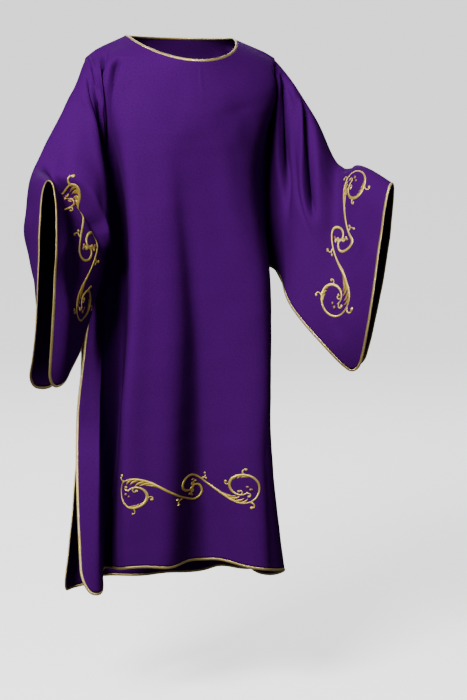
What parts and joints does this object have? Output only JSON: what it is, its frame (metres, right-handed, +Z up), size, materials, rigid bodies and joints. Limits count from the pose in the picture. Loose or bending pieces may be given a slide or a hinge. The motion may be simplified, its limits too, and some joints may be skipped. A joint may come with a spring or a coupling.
{
  "type": "dalmatic",
  "caption": "Deep purple dalmatic in its worn shape, with wide open sleeves, open sides, gold braid on every edge and gold scroll embroidery on the hem and sleeves.",
  "frame": {"origin": "middle of the neck opening at the level of the side of the neck, where the wearer's neck and shoulders carry the garment", "axes": "+Z up, the front faces -Y, the wearer's left is +X"},
  "size_m": [0.8671, 0.496, 1.3417],
  "materials": {
    "cloth": "matte fine twill, deep purple",
    "braid": "woven metallic thread, old gold"
  },
  "bodies": {
    "root": {"front": "cloth", "back": "cloth", "sleeve_left": "cloth", "sleeve_right": "cloth", "front_braid": "braid", "back_braid": "braid", "neck_braid": "braid", "sleeve_left_braid": "braid", "sleeve_right_braid": "braid"}
  },
  "joints": []
}
